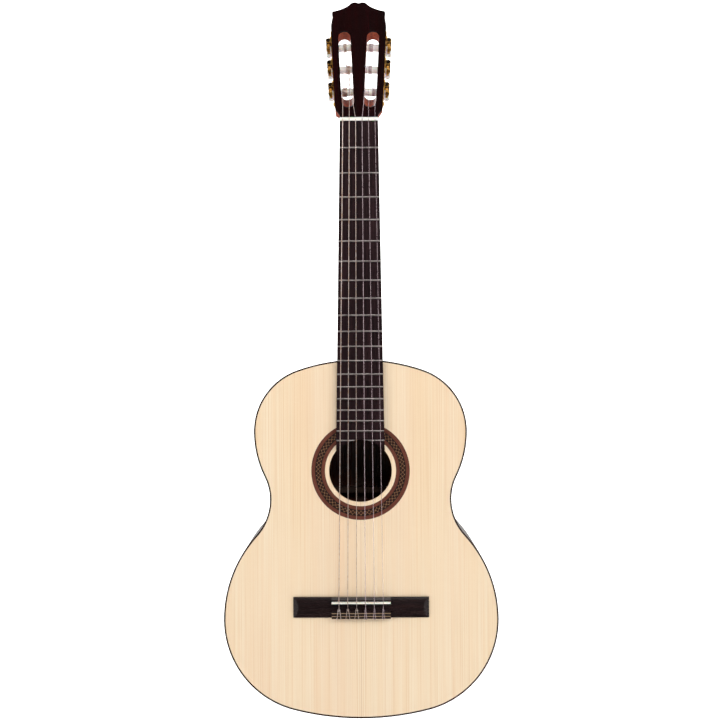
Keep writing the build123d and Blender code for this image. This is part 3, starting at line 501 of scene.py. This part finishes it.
def smooth_line(points, steps=5):
    """A Catmull-Rom line through the points."""
    ends = [2 * points[0] - points[1], *points, 2 * points[-1] - points[-2]]
    line = []
    for a, b, c, d in zip(ends, ends[1:], ends[2:], ends[3:]):
        for step in range(steps):
            t = step / steps
            line.append(
                0.5 * (2 * b + (c - a) * t + (2 * a - 5 * b + 4 * c - d) * t**2
                       + (3 * b - a - 3 * c + d) * t**3)
            )
    return line + [points[-1]]


def rounded_corner(before, corner, after, reach, steps=5):
    """Points that turn a corner between two straight runs."""
    start = corner + (before - corner).normalized() * reach
    end = corner + (after - corner).normalized() * reach
    line = []
    for step in range(steps + 1):
        t = step / steps
        line.append(start * (1 - t) ** 2 + corner * 2 * t * (1 - t) + end * t**2)
    return line


def tube_mesh(name, points, radius, sides=12):
    """A closed round tube along a line of points."""
    tube = bmesh.new()
    side = Vector((1, 0, 0))
    rings = []
    for index, point in enumerate(points):
        before = points[max(index - 1, 0)]
        after = points[min(index + 1, len(points) - 1)]
        along = (after - before).normalized()
        side = (side - along * side.dot(along)).normalized()
        other = along.cross(side)
        ring = []
        for step in range(sides):
            angle = 2 * pi * step / sides
            offset = side * cos(angle) + other * sin(angle)
            ring.append(tube.verts.new(point + offset * radius))
        rings.append(ring)
    for ring, following in zip(rings, rings[1:]):
        for step in range(sides):
            nearby = (step + 1) % sides
            tube.faces.new((ring[step], ring[nearby], following[nearby], following[step]))
    tube.faces.new(list(reversed(rings[0])))
    tube.faces.new(rings[-1])
    for face in tube.faces:
        face.smooth = True
    mesh = bpy.data.meshes.new(name)
    tube.to_mesh(mesh)
    tube.free()
    return mesh


def string_line(index):
    """A string's centre line: loop at the tie block, saddle, nut, and turns on its roller."""
    name = string_names[index]
    radius = string_diameters[index] / 2
    wind, tune = joints[f"wind_{name}"], joints[f"tune_{name}"]
    out, front = Vector(wind["axis"]), Vector(tune["axis"])
    up = out.cross(front)
    up *= 1 if up.z > 0 else -1
    place = (index - 2.5) / 5
    x_saddle = place * string_spread_saddle
    x_nut = place * string_spread_nut
    block_back = bridge_low.z
    block_front = block_back + tie_block_width
    spread = loop_spread_bass if name in wound_names else loop_spread_treble

    def at(across, height, z):
        return Vector((x_saddle + across * spread * mm, -height, z))

    over = tie_block_height + radius
    lie = over + loop_rise
    loop = [
        at(-2.3, 6.0 * mm, block_back - 1.2 * mm),
        at(-2.1, 8.0 * mm, block_back - 1.1 * mm),
        at(-1.9, over + 0.1 * mm, block_back + 0.3 * mm),
        at(-1.5, lie, block_back + 3.2 * mm),
        at(-1.1, lie, block_front - 2.2 * mm),
        at(-0.8, over, block_front + 0.5 * mm),
        at(-0.75, 7.8 * mm, block_front + 2.2 * mm),
        at(0.0, 6.3 * mm - 2 * radius, block_front + 2.9 * mm),
        at(0.75, 7.8 * mm, block_front + 2.2 * mm),
        at(0.8, over, block_front + 0.5 * mm),
        at(1.1, lie, block_front - 2.2 * mm),
        at(1.5, lie, block_back + 3.2 * mm),
        at(1.7, over + 0.1 * mm, block_back + 0.1 * mm),
        at(1.3, 7.6 * mm, block_back - 1.2 * mm),
        at(0.4, 5.4 * mm, block_back - 1.5 * mm),
        at(0.0, tie_hole_height, block_back - 0.4 * mm),
    ]
    into_hole = at(0, tie_hole_height, block_front + 1 * mm)
    on_saddle = at(0, saddle_height + radius, saddle_z)
    on_nut = Vector((x_nut, -string_height_nut - radius, (nut_high.z - nut_low.z) / 3))

    centre = Vector(wind["pos_m"])
    reach = roller_radius + wrap_clearance + radius
    to_nut = on_nut - centre
    to_nut_up, to_nut_front = to_nut.dot(up), to_nut.dot(front)
    tangent = atan2(to_nut_front, to_nut_up) - acos(reach / hypot(to_nut_up, to_nut_front))
    first_turn = first_turns[index]
    turns_start = centre + out * (slot_middle + first_turn)
    winding_way = -1 if first_turn > 0 else 1

    def on_roller(turned, lift=0.0):
        angle = tangent - turned
        shift = out * (winding_way * wrap_pitch_in_radii * radius * turned / (2 * pi))
        return turns_start + shift + (up * cos(angle) + front * sin(angle)) * (reach + lift)

    line = smooth_line(loop)
    line += rounded_corner(line[-1], into_hole, on_saddle, hole_bend)
    line += rounded_corner(into_hole, on_saddle, on_nut, rest_bend)
    line += rounded_corner(on_saddle, on_nut, on_roller(0), rest_bend)
    for step in range(wrap_turns * wrap_steps + 1):
        line.append(on_roller(2 * pi * step / wrap_steps))
    last = 2 * pi * wrap_turns
    for step in range(1, end_steps + 1):
        line.append(on_roller(last + end_step_angle * step, end_step_lift * step))
    return line


for index, name in enumerate(string_names):
    radius = string_diameters[index] / 2
    wound = name in wound_names
    tied = f"string_{name}_tied"
    new_piece(
        tied,
        tube_mesh(tied, string_line(index), radius),
        [wound_wire if wound else nylon],
        "guitar",
        "wound_string" if wound else "nylon_string",
        f"string_{name}",
    )


def mosaic_wood(column, row):
    """Which wood a little square is: crossing lines that leave dark diamonds between them."""
    if row in (0, mosaic_rows - 1):
        return 0
    half = mosaic_period // 2
    from_half = abs(column % mosaic_period - half)
    from_middle = abs(row - (mosaic_rows - 1) // 2)
    if from_middle != from_half:
        return 0
    return 2 if from_half in (0, half) else 1


def mosaic_mesh():
    """The mosaic ring: squares of veneer on its face, one quad each, and plain sides and back."""
    outer = mosaic_high.x
    ring = bmesh.new()
    verts = {}
    for column in range(mosaic_columns):
        angle = 2 * pi * column / mosaic_columns
        for row in range(mosaic_rows + 1):
            radius = mosaic_inner + (outer - mosaic_inner) * row / mosaic_rows
            x, z = radius * cos(angle), hole_z + radius * sin(angle)
            verts[column, row, 0] = ring.verts.new((x, mosaic_low.y, z))
            if row in (0, mosaic_rows):
                verts[column, row, 1] = ring.verts.new((x, mosaic_high.y, z))
    for column in range(mosaic_columns):
        following = (column + 1) % mosaic_columns
        for row in range(mosaic_rows):
            face = ring.faces.new((
                verts[column, row, 0], verts[column, row + 1, 0],
                verts[following, row + 1, 0], verts[following, row, 0],
            ))
            face.material_index = mosaic_wood(column, row)
        for row, first, second in ((0, column, following), (mosaic_rows, following, column)):
            ring.faces.new((
                verts[first, row, 0], verts[second, row, 0],
                verts[second, row, 1], verts[first, row, 1],
            ))
        ring.faces.new((
            verts[column, 0, 1], verts[following, 0, 1],
            verts[following, mosaic_rows, 1], verts[column, mosaic_rows, 1],
        ))
    bmesh.ops.recalc_face_normals(ring, faces=ring.faces)
    mesh = bpy.data.meshes.new("rosette_tiles")
    ring.to_mesh(mesh)
    ring.free()
    return mesh


new_piece(
    "rosette_tiles", mosaic_mesh(), mosaic_woods, "guitar", "rosette_mosaic", "rosette_mosaic"
)


# ==============================================================================================
# Studio: pale floor and backdrop, soft lights, and the camera
# ==============================================================================================
floor_drop = 0.35
floor_z = cad_low.z - floor_drop
floor_half = 4.0
floor_width = 30.0
sweep_radius = 1.0
sweep_steps = 12
# The paper glows more with its distance from the origin.
glow_from = 1.5
glow_full = 6.0
glow_least = 0.12
# The world's strength where reflections and soft light come from.
room_sides = 0.55
room_back = 0.5
room_front = 0.02


def studio_paper():
    """Pale seamless paper: a floor that curves up into a backdrop behind the guitar."""
    finish = Finish("studio_paper", Specular_IOR_Level=0.1, Emission_Color=(1, 1, 1, 1))
    fibre = finish.noise(finish.coordinates, 400, 3, 0.6)
    finish.colour(finish.ramp(fibre, (0.3, (0.86, 0.86, 0.86)), (0.7, (0.90, 0.90, 0.90))))
    finish.rough(0.9)
    finish.normal(finish.bump(fibre, 0.02 * mm, 0.1))
    away = finish.add("ShaderNodeVectorMath", {0: finish.coordinates}, operation="LENGTH")
    glow = finish.spread(away.outputs["Value"], glow_from, glow_full, glow_least)
    finish.set(finish.shader, {"Emission Strength": glow})
    profile = [(-floor_half, floor_z), (floor_half - sweep_radius, floor_z)]
    for step in range(1, sweep_steps + 1):
        angle = pi / 2 * step / sweep_steps
        y = floor_half - sweep_radius + sweep_radius * sin(angle)
        profile.append((y, floor_z + sweep_radius * (1 - cos(angle))))
    profile.append((floor_half, floor_z + 2 * floor_half))
    sheet = bmesh.new()
    rows = []
    for y, z in profile:
        rows.append([sheet.verts.new((side * floor_width / 2, y, z)) for side in (-1, 1)])
    for row, following in zip(rows, rows[1:]):
        face = sheet.faces.new((row[0], row[1], following[1], following[0]))
        face.smooth = True
    mesh = bpy.data.meshes.new("studio_paper")
    sheet.to_mesh(mesh)
    sheet.free()
    mesh.materials.append(finish.material)
    paper = bpy.data.objects.new("studio_paper", mesh)
    bpy.context.scene.collection.objects.link(paper)
    paper.visible_glossy = False


def area_light(name, place, target, size, power):
    """A round lamp that faces its target: its width in metres and its power in watts."""
    data = bpy.data.lights.new(name, "AREA")
    data.shape = "DISK"
    data.size = size
    data.energy = power
    light = bpy.data.objects.new(name, data)
    bpy.context.scene.collection.objects.link(light)
    light.location = place
    light.rotation_euler = (Vector(target) - Vector(place)).to_track_quat("-Z", "Y").to_euler()


studio_paper()
centre = (cad_low + cad_high) / 2
backdrop_foot = (0, 4, -0.6)
for name, place, target, size, power in (
    ("key", (1.9, -1.7, 0.9), centre, 1.2, 22),
    ("fill", (-1.9, -1.5, 0.5), centre, 1.4, 17.5),
    ("front", (0.6, -2.4, 1.1), centre, 0.9, 17),
    ("top", (0.3, -0.4, 2.3), centre, 1.2, 9),
    ("behind", (-0.9, 2.2, 1.2), centre, 1.4, 22),
    ("paper", (0.0, 1.4, 1.6), backdrop_foot, 2.0, 90),
):
    area_light(name, place, target, size, power)


def studio_world():
    """White to the camera; as a light, a room bright at its sides and dark behind the camera."""
    world = bpy.data.worlds.new("studio")
    world.use_nodes = True
    bpy.context.scene.world = world
    room = NodeTree(world.node_tree)
    direction = room.add("ShaderNodeTexCoord").outputs["Generated"]
    split = room.add("ShaderNodeSeparateXYZ", {"Vector": direction})
    sideways = room.math("ABSOLUTE", split.outputs["X"])
    sides = room.spread(sideways, 0.35, 0.75, 0.0, room_sides)
    behind = room.spread(split.outputs["Y"], -0.3, 0.4, room_front, room_back)
    brighter = room.math("MAXIMUM", sides, behind)
    seen_by_camera = room.add("ShaderNodeLightPath").outputs["Is Camera Ray"]
    strength = room.spread(seen_by_camera, 0.0, 1.0, brighter, 1.0)
    room.set(room.tree.nodes["Background"], {"Color": (1, 1, 1, 1), "Strength": strength})


studio_world()
bpy.context.scene.view_settings.view_transform = "Standard"

camera_lens = 44.51
camera_sensor = 36
camera_data = bpy.data.cameras.new("camera")
camera_data.lens = camera_lens
camera_data.sensor_width = camera_sensor
camera = bpy.data.objects.new("camera", camera_data)
bpy.context.scene.collection.objects.link(camera)
camera_place = Vector((0.0068, -1.2113, -0.325))
camera_turn = radians(0.322)
camera_pitch = radians(0.045)
camera_roll = radians(-0.268)
camera.matrix_world = (
    Matrix.Translation(camera_place)
    @ Matrix.Rotation(camera_turn, 4, "Z")
    @ Matrix.Rotation(pi / 2 + camera_pitch, 4, "X")
    @ Matrix.Rotation(camera_roll, 4, "Z")
)
bpy.context.scene.camera = camera
